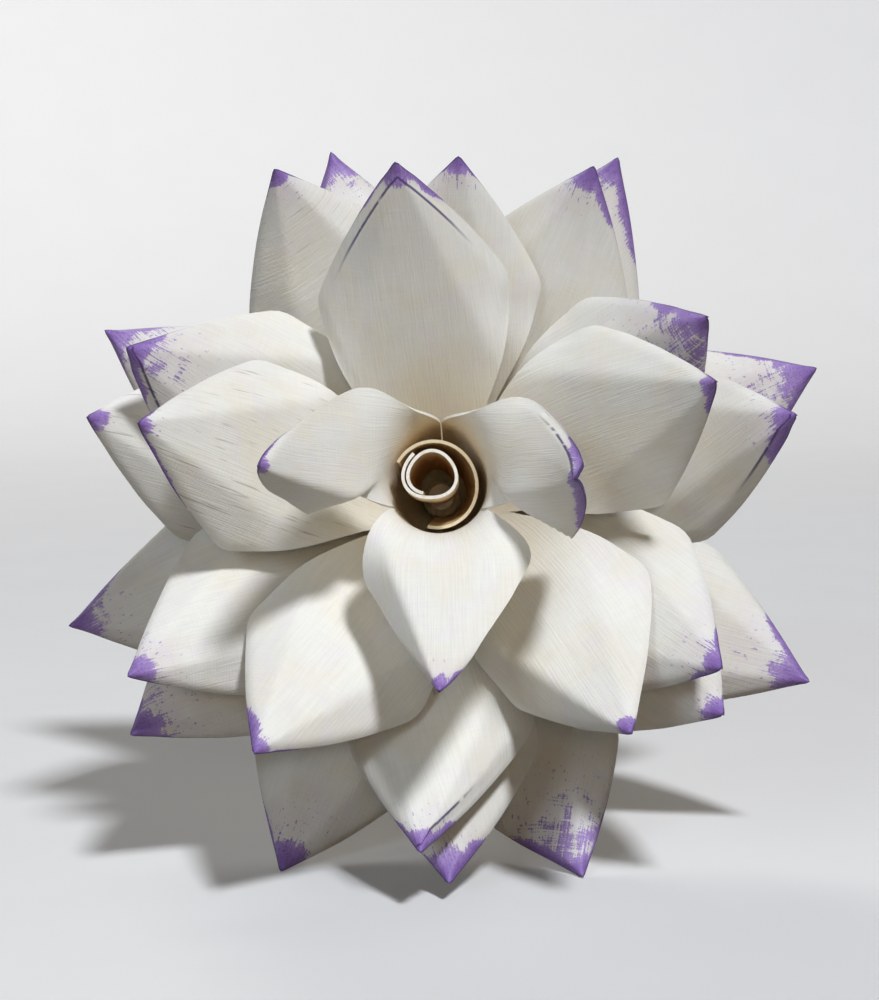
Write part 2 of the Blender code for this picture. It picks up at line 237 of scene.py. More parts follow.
# %% The layers, from the outermost in
SHEETS = [
    Sheet("eight_petal_sheet", 0.0, 20, [
        Petal(22, 77, Brush(3.4, (0.8, 22), (1.2, 14), 12, hatch=1.0)),
        Petal(65, 72, Brush(2.8, (0.3, 6), (1.5, 20), 6, turn=25, hatch=0.6)),
        Petal(109, 94, Brush(3.0, (1.6, 16), (0.5, 8), 9, turn=-20, hatch=0.8)),
        Petal(153, 92, Brush(3.4, (0.8, 10), (1.1, 12), 9, turn=12)),
        Petal(198, 95, Brush(3.2, (0.4, 8), (1.2, 14), 7, turn=-10)),
        Petal(248, 68, Brush(3.2, (0.4, 6), (0.5, 14), 7, hatch=0.7)),
        Petal(292, 65, Brush(2.4, (0.5, 16), (1.6, 16), 16, turn=30, hatch=1.0)),
        Petal(336, 82, Brush(3.4, (1.2, 16), (0.5, 7), 8, turn=-8))]),
    Sheet("seven_petal_sheet", 0.0012, 14, [
        Petal(12, 51, Brush(2.4, (0.3, 5), (1.7, 11), 5, turn=-20), margins=(0.0, 1.1)),
        Petal(66, 60, Brush(2.6, (0.4, 6), (1.2, 12), 4), reach=0.95),
        Petal(119, 50.6, Brush(1.8, (0.25, 5), (0.3, 5), 4, turn=80, streaks=0.5)),
        Petal(171, 48.8, Brush(2.0, (0.3, 4), (0.25, 3), 1.5, streaks=0.8)),
        Petal(220, 71, Brush(3.2, (0.5, 8), (0.8, 8), 8, turn=15, hatch=0.8)),
        Petal(273, 68, Brush(3.4, (1.4, 11), (0.6, 8), 4, turn=-15)),
        Petal(322, 51, Brush(2.2, (0.5, 5), (0.4, 4), 4))]),
    Sheet("six_petal_sheet", 0.0026, 32, [
        Petal(31, 38.5, Brush(2.6, (1.2, 15), (0.5, 6), 15, hatch=1.0)),
        Petal(88, 57.5, Brush(2.0, (0.4, 5), (0.5, 6), 4), left=21, reach=0.92),
        Petal(159, 48.5, Brush(2.6, (0.9, 12), (1.0, 9), 9, turn=8), margins=(1.0, 0.0)),
        Petal(214, 62, Brush(2.6, (0.4, 5), (0.4, 5), 5, turn=15)),
        Petal(269, 64, Brush(2.4, (1.0, 9), (0.7, 8), 4, turn=-20), margins=(1.3, 0.0)),
        Petal(327, 49.5, Brush(2.4, (0.5, 10), (0.7, 7), 5))]),
    Sheet("five_petal_sheet", 0.0042, 27, [
        Petal(18, 39.5, Brush(1.8, (0.2, 4), (0.8, 7), 1.5)),
        Petal(99, 49, Brush(2.2, (0.35, 14), (0.8, 12), 1.5), margins=(1.1, 1.2)),
        Petal(173, 42, Brush(1.6, (0.45, 17), (0.3, 6), 2.0, turn=6, streaks=1.0)),
        Petal(239, 55, Brush(1.8, (0.25, 9), (1.3, 10), 1.0)),
        Petal(308, 51.5, Brush(1.7, (0.15, 3), (0.2, 3), 1.0), left=16, right=52)]),
    Sheet("three_petal_sheet", 0.0065, 150, [
        Petal(185, 40, Brush(1.5, (0.15, 3), (0.3, 9), 0.8), droop=-14, left=56, right=5,
              widths=(0.60, 0.84), lag=0.006, folds=(0.12, CREASE_SLOPE)),
        Petal(273, 60, Brush(1.7, (0.45, 6), (0.15, 3), 2.0), left=10, right=58,
              widths=(0.84, 0.84)),
        Petal(-9, 33, Brush(2.2, (0.8, 15), (1.2, 17), 1.2), droop=-22, left=10, right=56,
              widths=(0.84, 0.84), lag=-0.006, margins=(0.8, 0.0), folds=(CREASE_SLOPE, 0.06))],
        lip=(0.0215, 0.0365), tube=(4.0, 0.010, 0.016), flat=(0.026, 0.036),
        turn=(0.022, 0.032), pinch=0.0018, half_gap=0.0001, thin_paint_and_shade=0.8),
]
print("petals:", sum(len(sheet.petals) for sheet in SHEETS))

# %% [markdown]
# ## From flat paper to bent petal
#
# The middle line of a petal is a curve seen from the side: it rises with the cone, then leans out over
# the lip. `Blade` walks along that curve once and keeps a table. A point of the flat petal then goes
# where the curve says, plus its place in the bent cross-section. Near the hole the paper still has to
# follow the round cone, so the two answers are blended.

# %% The bending itself
CREASE_WIDTH = 0.0006
CURL_CURVATURE = 15.0
ARCH_CURVATURE = 5.0
EDGE_ROLL = 32.0
EDGE_ROLL_WIDTH = 0.0018
SECTION_STEPS = 24
BEND_RISE = (0.016, 0.014)
ROLL_RISE = (0.024, 0.008)
ARCH_RISE = (0.030, 0.016)
FOLD_SOFTENS_OVER = 0.012
PINCH_SPREAD = math.radians(32)
PINCH_RISE = (0.008, 0.012)
DROOP_FROM = 0.036
LAG_WIDTH = 0.010
NARROWS_OVER = 0.008
TABLE_STEPS = 300
MARGIN_DROP = 0.00055
MARGIN_CREASE = 0.00035
MARGIN_NEAR_TIP = (0.001, 0.002)
MARGIN_FADES = (0.014, 0.019)
WAVINESS = 0.00011
WAVE_LENGTH = 0.016
WAVE_RISE = (0.020, 0.010)
SHOULDER_STARTS = SHOULDER_RADIUS - 0.002
SLANT_PAST_SHOULDER, SLANT_OF_SLIT = 0.74, 0.92
SOFTNESS_AT_TIP = 0.15
LEAST_WIDTH = 1e-5


class Blade:
    """Maps the flat template to one bent petal."""

    def __init__(self, sheet, index):
        petal = sheet.petals[index]
        self.sheet = sheet
        self.petal = petal
        self.seed = 100 * len(sheet.petals) + index
        self.base = sheet.first + index * 360.0 / len(sheet.petals)
        self.shift = (petal.tip - self.base + 180.0) % 360.0 - 180.0
        self.r = np.linspace(sheet.inner, TIP_RADIUS, TABLE_STEPS)
        angle = np.full(TABLE_STEPS, sheet.cone)
        last = sheet.cone
        if sheet.tube:
            last, starts, ends = sheet.tube
            angle += (last - sheet.cone) * rising(self.r, starts, ends - starts)
        starts, ends = sheet.lip
        angle += (petal.lean - last) * rising(self.r, starts, ends - starts)
        angle += petal.droop * rising(self.r, DROOP_FROM, TIP_RADIUS - DROOP_FROM)
        self.angle = np.radians(angle)
        scale = 1.0 + (petal.reach - 1.0) * rising(self.r, SLIT_RADIUS, SLIT_OPENS_OVER)
        step = self.r[1] - self.r[0]
        middle = 0.5 * (self.angle[1:] + self.angle[:-1])
        run = 0.5 * (scale[1:] + scale[:-1]) * step
        self.rho = HOLE_RADIUS + np.concatenate([[0.0], np.cumsum(run * np.sin(middle))])
        self.z = sheet.seat + np.concatenate([[0.0], np.cumsum(run * np.cos(middle))])

    def bearing(self, r, y):
        """Where the petal's middle line points, turning from the even spacing to its own tip."""
        starts, ends = self.sheet.turn
        late = self.petal.lag * np.clip(y * np.sign(self.petal.lag) / LAG_WIDTH, 0.0, 1.0)
        turned = rising(r - np.abs(late), starts, ends - starts)
        return np.radians(self.base + self.shift * turned)

    def spine(self, r):
        """Distance from the stem, height and slope of the middle line."""
        rho = np.interp(r, self.r, self.rho)
        z = np.interp(r, self.r, self.z)
        return rho, z, np.interp(r, self.r, self.angle)

    def cone_point(self, x, y):
        """The paper near the hole, where all petals still form one cone."""
        r = np.hypot(x, y)
        rho, z, _ = self.spine(r)
        closed = TEMPLATE_PETALS / len(self.sheet.petals)
        spread = np.arctan2(y, x) * np.minimum(r / rho, closed)
        around = self.bearing(r, y) + spread
        seam = math.radians(self.sheet.first) - math.pi / len(self.sheet.petals)
        off_seam = np.radians(self.base) + spread - seam
        off_seam = (off_seam + math.pi) % (2.0 * math.pi) - math.pi
        near = np.exp(-((off_seam / PINCH_SPREAD) ** 2)) * rising(r, *PINCH_RISE)
        rho = rho + self.sheet.pinch * near
        return np.stack([rho * np.cos(around), rho * np.sin(around), z], axis=-1)

    def section(self, x, y):
        """Across and rise of the bent cross-section, summed along the paper from the middle."""
        width = np.maximum(half_width(x), LEAST_WIDTH)[..., None]
        left, right = self.petal.folds
        crease = (np.maximum(TIP_RADIUS - x, 0.0) * np.where(y > 0.0, left, right))[..., None]
        soft = (CREASE_WIDTH * smooth(SOFTNESS_AT_TIP + (TIP_RADIUS - x) / FOLD_SOFTENS_OVER))[..., None]
        bend = np.radians(np.where(y > 0.0, self.petal.left, self.petal.right))
        bend = (bend * rising(x, *BEND_RISE))[..., None]
        roll = (math.radians(EDGE_ROLL) * rising(x, *ROLL_RISE))[..., None]
        arch = (ARCH_CURVATURE * rising(x, *ARCH_RISE))[..., None]
        part = (np.arange(SECTION_STEPS) + 0.5) / SECTION_STEPS
        along = np.abs(y)[..., None] * part
        past = np.maximum(along - crease, 0.0)
        turn = bend * (smooth((along - crease + soft) / (2.0 * soft)) + CURL_CURVATURE * past)
        turn = turn + roll * smooth((along - width + EDGE_ROLL_WIDTH) / EDGE_ROLL_WIDTH)
        turn = turn + 2.0 * arch * along
        step = np.abs(y) / SECTION_STEPS
        return np.cos(turn).sum(-1) * step * np.sign(y), -np.sin(turn).sum(-1) * step

    def unevenness(self, x, y):
        """What the hand added: a faint wave in the paper, and thin margins turned back."""
        lift = WAVINESS * ripple(self.seed, x, y, WAVE_LENGTH) * rising(x, *WAVE_RISE)
        left, right = self.petal.margins
        strip = np.where(y > 0.0, left, right) * MM
        inside = edge_distance(x, y) - strip
        from_tip = TIP_RADIUS - x
        fades = rising(from_tip, *MARGIN_NEAR_TIP) * (1.0 - rising(from_tip, *MARGIN_FADES))
        drop = MARGIN_DROP * smooth(-inside / MARGIN_CREASE) * fades
        return lift - np.where(strip > 0.0, drop, 0.0)

    def panel_point(self, x, y):
        """The free part of the petal: the middle line plus the bent cross-section."""
        rho, z, angle = self.spine(x)
        left, right = self.petal.widths
        narrower = (np.where(y > 0.0, left, right) - 1.0) * smooth((TIP_RADIUS - x) / NARROWS_OVER)
        side, lift = self.section(x, y * (1.0 + narrower))
        lift = lift + self.unevenness(x, y)
        around = self.bearing(x, y)
        out = rho - lift * np.cos(angle)
        up = z + lift * np.sin(angle)
        cos, sin = np.cos(around), np.sin(around)
        return np.stack([out * cos - side * sin, out * sin + side * cos, up], axis=-1)

    def point(self, x, y):
        starts, ends = self.sheet.flat
        flat = rising(np.hypot(x, y), starts, ends - starts)[..., None]
        return self.cone_point(x, y) * (1.0 - flat) + self.panel_point(x, y) * flat


def edge_distance(x, y):
    """How far a point is from the petal's cut edge, which slants more past the shoulder."""
    slant = np.where(x > SHOULDER_STARTS, SLANT_PAST_SHOULDER, SLANT_OF_SLIT)
    return (half_width(x) - np.abs(y)) * slant


tip = Blade(SHEETS[0], 0).point(np.array([TIP_RADIUS]), np.array([0.0]))[0]
print("first outer tip, in mm:", [round(float(value) / MM, 1) for value in tip])

# %% [markdown]
# ## Cutting a sheet
#
# A sheet is one grid per petal, bent, then joined where the petals meet round the hole. Each point keeps
# what the paint will ask for: its place on the flat paper, how far it is from the cut edge and from
# the point of the petal, and how much purple this petal got. The paper's thickness comes from Solidify,
# with a fine bevel left out because 0.35 mm paper has square edges.

# %% Grids on the flat petal
BASE_ROWS = 8
BLADE_ROWS = 46
ROW_CROWDING = 1.25
COLUMNS = 34
RAGGED = 0.00012
RAGGED_WAVE = 0.006
RAGGED_RISE = (0.020, 0.010)
RAGGED_TIP_FADE = 0.004
CUT_COLUMNS = 12
ROUNDING_ERROR = 1e-9


def flat_petal(row, column, sheet, seed):
    """Places on the flat petal. Row: -1 at the hole, 0 at the slit, 1 at the point."""
    radius = sheet.inner + (SLIT_RADIUS - sheet.inner) * (row + 1.0)
    turn = column * HALF_SECTOR
    base_x, base_y = radius * np.cos(turn), radius * np.sin(turn)
    row = np.maximum(row, 0.0)
    middle = SLIT_RADIUS + (TIP_RADIUS - SLIT_RADIUS) * row
    shoulder = SHOULDER_RADIUS * math.cos(HALF_SECTOR)
    above = (middle - SHOULDER_RADIUS) / (TIP_RADIUS - SHOULDER_RADIUS)
    edge = np.where(middle < SHOULDER_RADIUS, middle * math.cos(HALF_SECTOR),
                    shoulder + (TIP_RADIUS - shoulder) * above)
    width = half_width(edge, sheet.half_gap)
    y = width * column
    x = middle + (edge - middle) * column**2
    cut = RAGGED * (0.5 + 0.5 * ripple(seed + 7, x, np.sign(column), RAGGED_WAVE))
    cut = cut * np.abs(column) ** CUT_COLUMNS * rising(x, *RAGGED_RISE)
    y = y - np.sign(y) * cut * smooth((TIP_RADIUS - x) / RAGGED_TIP_FADE)
    in_base = radius < SLIT_RADIUS - ROUNDING_ERROR
    return np.where(in_base, base_x, x), np.where(in_base, base_y, y)


print("grid of one petal:", COLUMNS, "by", BASE_ROWS + BLADE_ROWS)

# %% Pieces, and the thickness of paper
SQUARE_EDGE = math.radians(50)


def built_mesh(bm, name):
    mesh = bpy.data.meshes.new(name)
    bm.to_mesh(mesh)
    bm.free()
    return mesh


def put_in_scene(name, data):
    made = bpy.data.objects.new(name, data)
    bpy.context.scene.collection.objects.link(made)
    return made


def add_piece(name, mesh, finish):
    """Puts a mesh made in the head's frame into the scene, laid down with the head."""
    mesh.transform(HEAD)
    piece = put_in_scene(name, mesh)
    mesh.materials.append(finish)
    mesh.shade_smooth()
    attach(piece, "root")
    return piece


def thicken(piece, thickness, offset=0.0):
    """Gives a surface its thickness for good, and keeps the cut edge square."""
    solid = piece.modifiers.new("paper thickness", "SOLIDIFY")
    solid.thickness = thickness
    solid.offset = offset
    bpy.context.view_layer.update()
    made = piece.evaluated_get(bpy.context.evaluated_depsgraph_get())
    piece.data = bpy.data.meshes.new_from_object(made)
    piece.modifiers.clear()
    piece.data.set_sharp_from_angle(angle=SQUARE_EDGE)


print("paper:", PAPER / MM, "mm thick")

# %% One whole sheet
WELD = 1e-6
SLIT_HAS_EDGE_FROM = SLIT_RADIUS + 0.0005
WELL_INSIDE = 0.01
MIDDLE_BLEND = 0.002
SEED_STEP = 7.0
KEPT = ("flat_place", "from_tip_and_edge", "purple_sizes", "purple_edges", "grey_streaks")


def cut_sheet(sheet):
    """One grid per petal, bent and welded at the hole, with what the paint asks for on each point."""
    bm = bmesh.new()
    layers = [bm.verts.layers.float_vector.new(name) for name in KEPT]
    for index, petal in enumerate(sheet.petals):
        blade = Blade(sheet, index)
        brush = petal.paint
        grid = bmesh.ops.create_grid(
            bm, x_segments=COLUMNS, y_segments=BASE_ROWS + BLADE_ROWS, size=1.0)["verts"]
        places = np.array([vert.co[:2] for vert in grid])
        steps = np.rint((places[:, 1] + 1.0) / 2.0 * (BASE_ROWS + BLADE_ROWS)) - BASE_ROWS
        row = np.where(steps < 0, steps / BASE_ROWS,
                       1.0 - (1.0 - np.maximum(steps, 0) / BLADE_ROWS) ** ROW_CROWDING)
        x, y = flat_petal(row, places[:, 0], sheet, blade.seed)
        points = blade.point(x, y)
        radius = np.hypot(x, y)
        edge = np.where(radius < SLIT_HAS_EDGE_FROM, WELL_INSIDE, edge_distance(x, y))
        tip = np.hypot(TIP_RADIUS - x, y)
        side = smooth(y / MIDDLE_BLEND + 0.5)
        band, runs, margin = (right + (left - right) * side for left, right in (
            (brush.left[0], brush.right[0]), (brush.left[1], brush.right[1]), petal.margins))
        turned_x = x * math.cos(brush.turn) - y * math.sin(brush.turn)
        turned_y = x * math.sin(brush.turn) + y * math.cos(brush.turn)
        kept = [np.stack(np.broadcast_arrays(x, *three)[1:], axis=-1) for three in (
            (turned_x / MM, turned_y / MM, SEED_STEP * blade.seed),
            (tip / MM, edge / MM, radius / MM),
            (brush.point, brush.dry, brush.hatch),
            (band, runs, margin),
            (brush.streaks, sheet.thin_paint_and_shade, 0.0))]
        for at, vert in enumerate(grid):
            vert.co = points[at]
            for layer, values in zip(layers, kept):
                vert[layer] = values[at]
    bmesh.ops.remove_doubles(bm, verts=bm.verts, dist=WELD)
    return built_mesh(bm, sheet.node)


print("points of one petal:", (COLUMNS + 1) * (BASE_ROWS + BLADE_ROWS + 1))

# %% [markdown]
# ## A small language for shader maths
#
# The paint is worked out with numbers that vary over the paper. Wiring every Math node by hand hides
# the idea, so `Amount` wraps one socket and lets Python's own operators add the nodes.

# %% Materials written as expressions
class Amount:
    """A number inside a material. Adding, multiplying and so on adds Math nodes."""

    def __init__(self, finish, socket):
        self.finish = finish
        self.socket = socket

    def maths(self, operation, *others, before=()):
        """A Math node of this amount and others, with some of them before it if need be."""
        values = dict(enumerate((*before, self, *others)))
        return self.finish.node("ShaderNodeMath", {"operation": operation}, values)[0]

    def __add__(self, other):
        return self.maths("ADD", other)

    def __sub__(self, other):
        return self.maths("SUBTRACT", other)

    def __rsub__(self, other):
        return self.maths("SUBTRACT", before=(other,))

    def __mul__(self, other):
        return self.maths("MULTIPLY", other)

    def __truediv__(self, other):
        return self.maths("DIVIDE", other)

    def __rtruediv__(self, other):
        return self.maths("DIVIDE", before=(other,))

    def __neg__(self):
        return self * -1.0

    def __abs__(self):
        return self.maths("ABSOLUTE")

    __radd__ = __add__
    __rmul__ = __mul__

    def at_most(self, other):
        return self.maths("MINIMUM", other)

    def at_least(self, other):
        return self.maths("MAXIMUM", other)

    def eased(self, low, high):
        """0 below low, 1 above high, smooth between."""
        settings = {"interpolation_type": "SMOOTHSTEP"}
        values = {"Value": self, "From Min": low, "From Max": high}
        return self.finish.node("ShaderNodeMapRange", settings, values)[0]


class Recipe:
    """The nodes of one material or of the world."""

    def __init__(self, tree):
        self.tree = tree

    def node(self, kind, settings=None, values=None):
        """Adds a node: its settings first, then what goes into its sockets, values or links.

        Gives back what comes out of it, one Amount for each socket.
        """
        made = self.tree.nodes.new(kind)
        for name, value in (settings or {}).items():
            setattr(made, name, value)
        for name, value in (values or {}).items():
            self.put(made.inputs[name], value)
        return {key: Amount(self, out) for at, out in enumerate(made.outputs) for key in (at, out.name)}

    def put(self, socket, value):
        if isinstance(value, Amount):
            self.tree.links.new(value.socket, socket)
        elif isinstance(value, tuple) and socket.type == "RGBA":
            socket.default_value = (*value, 1.0)
        else:
            socket.default_value = value


print("a plain number stays a number, an Amount becomes a link")

# %% One material
class Finish(Recipe):
    """One material, built node by node on its Principled shader."""

    def __init__(self, name, **constants):
        self.material = bpy.data.materials.new(name)
        self.material.use_nodes = True
        super().__init__(self.material.node_tree)
        self.shader = self.tree.nodes["Principled BSDF"]
        for socket, value in constants.items():
            self.shader.inputs[socket.replace("_", " ").title()].default_value = value

    def surface(self, **values):
        for name, value in values.items():
            self.put(self.shader.inputs[name.replace("_", " ")], value)

    def attribute(self, name):
        return self.node("ShaderNodeAttribute", {"attribute_name": name})["Vector"]

    def parts(self, vector):
        made = self.node("ShaderNodeSeparateXYZ", values={0: vector})
        return made[0], made[1], made[2]

    def noise(self, vector, scale, detail=2.0, roughness=0.5):
        return self.node("ShaderNodeTexNoise", {}, {
            "Vector": vector, "Scale": scale, "Detail": detail, "Roughness": roughness})[0]

    def strokes(self, vector, scales, detail=2.0, roughness=0.5):
        """Noise with a scale of its own along each axis, as for brush strokes and fibres."""
        drawn_out = self.node("ShaderNodeVectorMath", {"operation": "MULTIPLY"},
                              {0: vector, 1: scales})[0]
        return self.noise(drawn_out, 1.0, detail, roughness)

    def mixed(self, share, first, second, blend="MIX"):
        """Colour first where share is 0 and second where it is 1."""
        return self.node("ShaderNodeMix", {"data_type": "RGBA", "blend_type": blend},
                         {0: share, 6: first, 7: second})[2]

    def grey(self, level):
        return self.node("ShaderNodeCombineColor", {}, {0: level, 1: level, 2: level})[0]

    def bump(self, height, distance, strength):
        values = {"Height": height, "Distance": distance, "Strength": strength}
        return self.node("ShaderNodeBump", {}, values)[0]


def linear(red, green, blue):
    """A colour given as on a paint chart, 0 to 255, turned into light."""
    values = [value / 255.0 for value in (red, green, blue)]
    return tuple(v / 12.92 if v <= 0.04045 else ((v + 0.055) / 1.055) ** 2.4 for v in values)


print("ivory:", [round(value, 3) for value in linear(240, 238, 232)])

# %% [markdown]
# ## Ivory paint and a dry purple brush
#
# The real paper was painted white by hand. A stiff brush leaves fine ribs, in one main direction and
# faintly across it, and the ribs catch a nearly dry purple brush later: solid on the point and the
# cut edge, broken into threads further in. An image could hold that, but it would blur up close.
# Here the threads come from noise stretched along the strokes, and the same noise is the height of
# the ribs, so paint sits on the ridges as it does in life.

# %% The colours of the paint
IVORY = linear(241, 239, 231)
WARM_IVORY = linear(240, 235, 222)
LILAC_WHITE = linear(239, 231, 235)
PURPLE_DEEP = linear(104, 68, 148)
PURPLE = linear(134, 96, 178)
PURPLE_CHALKY = linear(172, 142, 206)
PURPLE_LINE = linear(70, 46, 104)
BARE_PAPER = linear(205, 184, 152)
# Tan for the foot of the sheets: thin paint, and painted shade deep in the throat.
THIN_PAINT_AND_SHADE_TAN = linear(228, 210, 172)
GREY_STREAK = linear(150, 138, 128)
print("purple, as light:", [round(value, 3) for value in PURPLE])

# %% The painted paper
def painted_paper(name):
    """Ribbed ivory paint, then scraped streaks, then the purple, then tan in the throat: thin paint and
    painted shade.
    """
    finish = Finish(name, roughness=0.62)
    place = finish.attribute("flat_place")
    tip, edge, radius = finish.parts(finish.attribute("from_tip_and_edge"))
    point, dry, hatch = finish.parts(finish.attribute("purple_sizes"))
    band, runs, margin = finish.parts(finish.attribute("purple_edges"))
    streaks, thin_paint_and_shade, _ = finish.parts(finish.attribute("grey_streaks"))
    ribs = finish.strokes(place, (0.16, 4.6, 1.0), 3.0, 0.6)
    across = finish.strokes(place, (4.2, 0.2, 1.0), 3.0, 0.6)
    broad = finish.noise(place, 0.16, 2.0)
    grain = finish.noise(place, 4.5, 3.0, 0.7)
    weave = ribs * 0.72 + across * 0.28

    tone = finish.mixed(broad.eased(0.38, 0.66), IVORY, WARM_IVORY)
    tone = finish.mixed(finish.noise(place, 0.27, 1.0).eased(0.52, 0.72) * 0.35, tone, LILAC_WHITE)
    streak = (weave - 0.5) * 0.30 + 1.0
    tone = finish.mixed(1.0, tone, finish.grey(streak), "MULTIPLY")

    scrape = finish.strokes(place, (0.10, 2.4, 1.0), 2.0, 0.55)
    scraped = scrape.eased(0.60, 0.68) * finish.noise(place, 0.3, 1.0).eased(0.42, 0.6) * streaks
    tone = finish.mixed(scraped * 0.55, tone, GREY_STREAK)

    threads = (ribs * (1.0 - hatch * 0.5) + across * hatch * 0.5 - 0.5) * 1.7
    ragged = threads + (grain - 0.5) * 0.5
    at_point = 1.60 - tip / point
    at_edge = (1.25 - edge / band) - (tip / runs).eased(0.45, 1.2) * 3.0
    in_patch = 0.60 - tip / (dry + point) * 0.66
    cover = at_point.at_least(at_edge).at_least(in_patch)
    wear = finish.noise(place, 0.5, 2.0)
    laid = cover + ragged * 0.75 + (wear - 0.5) * 0.9  # above about 0.4 the purple has stuck
    painted = laid.eased(0.34, 0.46)
    specks = finish.strokes(place, (1.3, 2.6, 1.0), 1.0).eased(0.68, 0.71)
    specks = specks * (1.0 - tip / (dry + point + 1.0)).eased(0.0, 0.4)
    painted = painted.at_least(specks * 0.85)

    turned_edge = 1.0 - abs(edge - margin).eased(0.03, 0.15)
    turned_edge = turned_edge * margin.eased(0.1, 0.4) * (1.0 - (tip / runs).eased(0.7, 1.3))
    cut_edge = (1.0 - edge.eased(0.05, 0.22)) * (1.0 - (tip / runs).eased(0.3, 1.2))
    line = turned_edge.at_least(cut_edge) * wear.eased(0.30, 0.42)

    purple = finish.mixed((laid - 0.3).eased(0.0, 0.9), PURPLE_CHALKY, PURPLE)
    purple = finish.mixed(grain.eased(0.50, 0.72), purple, PURPLE_DEEP)
    haze = (cover + (broad - 0.5)).eased(-0.35, 0.8) * 0.20
    tone = finish.mixed(haze, tone, PURPLE_CHALKY)
    colour = finish.mixed(painted * 0.95, tone, purple)
    colour = finish.mixed(line * 0.9, colour, PURPLE_LINE)
    # Painted shade: towards the foot of each sheet the colour turns tan, partly thin paint and partly the
    # shade deep in the throat.
    throat = 1.0 - (radius + (broad - 0.5) * 6.0).eased(17.0, 27.0)
    colour = finish.mixed(throat * thin_paint_and_shade, colour, THIN_PAINT_AND_SHADE_TAN)

    height = weave * 0.8 + grain * 0.15 + painted * 0.10
    finish.surface(
        Base_Color=colour,
        Roughness=0.66 - painted * 0.14 + (grain - 0.5) * 0.12,
        Normal=finish.bump(height, 0.0002, 0.6),
    )
    return finish.material


print("read from each point:", ", ".join(KEPT))

# %% [markdown]
# The maker painted the paper and then cut it. Here the bent surface is made first, gets its paint and
# then its thickness, so the paint turns over the cut edge by itself. Each piece stands in for one
# packed sheet and rides on the same body.

# %% Cut and paint the five sheets
for sheet in SHEETS:
    piece = add_piece(sheet.node.replace("_sheet", "_paper"), cut_sheet(sheet),
                      painted_paper(sheet.node.replace("_sheet", "_paint")))
    thicken(piece, PAPER)
    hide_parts(sheet.node)
    print(piece.name, len(piece.data.vertices), "points")

# %% [markdown]
# ## The rolled centre
#
# One petal is rolled tight and stands in the throat, and a second strip goes loosely round it. Both are
# upright walls of paper whose plan is a spiral. The eye goes straight to their top rims, where the
# cut edge of the paper shows as a bright line, so the walls are fine enough to stay round and the
# rim is painted lighter, a painted highlight.

# %% Walls that follow a spiral
ROLL_CENTRE = (-0.00075, 0.00060)
ROLL_START, ROLL_TURNS = 250.0, 1.33
ROLL_FIRST_RADIUS, ROLL_PITCH = 0.00236, 0.00050
ROLL_BOTTOM, ROLL_TOP = 0.0155, 0.0296
WRAP_CENTRE = (-0.00035, -0.00025)
WRAP_RADIUS = 0.00458
WRAP_FROM, WRAP_TO = 152.0, -100.0
WRAP_BOTTOM, WRAP_TOP = 0.0135, 0.0278
WRAP_SLANT = 0.0012
WRAP_DIPS = 0.0022
ROLL_LEAN, WRAP_LEAN = 0.0009, 0.0009
WRAP_HIGH_SIDE = math.radians(120.0)
WRAP_OVAL = 0.010
TAPER_FROM, TAPER_BY, TAPER_LEAST = 0.0120, 0.0240, 0.66
WALL_ROWS = 36
COLUMNS_PER_MM = 4.0
ROW_CROWDING_AT_RIM = 1.6
WALL_DENTS, DENT_WAVE = 0.00005, 0.009
RIM_WAVES, RIM_WAVE = 0.00022, 0.008
ARC_SCALE = 0.003


def wall_points(up, centre, bearing, radius, bottom, top, seed, lean):
    """A wall of paper: plan from bearing and radius, narrower and pushed over at its foot."""
    z = bottom + (top - bottom) * up
    scale = TAPER_LEAST + (1.0 - TAPER_LEAST) * np.clip(
        (z - TAPER_FROM) / (TAPER_BY - TAPER_FROM), 0.0, 1.0)
    uneven = WALL_DENTS * ripple(seed, bearing * ARC_SCALE, z, DENT_WAVE)
    z = z + RIM_WAVES * ripple(seed + 1, bearing * ARC_SCALE, 0.0 * z, RIM_WAVE) * smooth(up)
    x = (centre[0] + (radius + uneven) * np.cos(bearing)) * scale
    y = (centre[1] + (radius + uneven) * np.sin(bearing)) * scale + lean * (1.0 - up)
    return np.stack([x, y, z], axis=-1), (top - bottom) * (1.0 - up)


def paper_wall(name, columns, plan):
    """A grid sent through a plan, with how far round and how far below the rim each point is."""
    bm = bmesh.new()
    layer = bm.verts.layers.float_vector.new("wall_place")
    grid = bmesh.ops.create_grid(bm, x_segments=columns, y_segments=WALL_ROWS, size=1.0)["verts"]
    places = np.array([vert.co[:2] for vert in grid]) * 0.5 + 0.5
    along, up = places[:, 0], 1.0 - (1.0 - places[:, 1]) ** ROW_CROWDING_AT_RIM
    points, below_rim = plan(along, up)
    for at, vert in enumerate(grid):
        vert.co = points[at]
        vert[layer] = (along[at] * columns / COLUMNS_PER_MM, below_rim[at] / MM, 0.0)
    return built_mesh(bm, name)


print("the roll ends", round((ROLL_TOP - WRAP_TOP) / MM, 1), "mm above the wrap")

# %% The plans of the roll and the wrap
def roll_plan(along, up):
    """Almost one and a half turns, pressed a little flat by the fingers that rolled it."""
    turned = along * ROLL_TURNS
    bearing = np.radians(ROLL_START - 360.0 * turned)
    flats = 1.0 - 0.045 * np.sin(3.0 * bearing) + 0.03 * np.cos(2.0 * bearing)
    radius = (ROLL_FIRST_RADIUS + ROLL_PITCH * turned) * flats
    return wall_points(up, ROLL_CENTRE, bearing, radius, ROLL_BOTTOM, ROLL_TOP, 11, ROLL_LEAN)


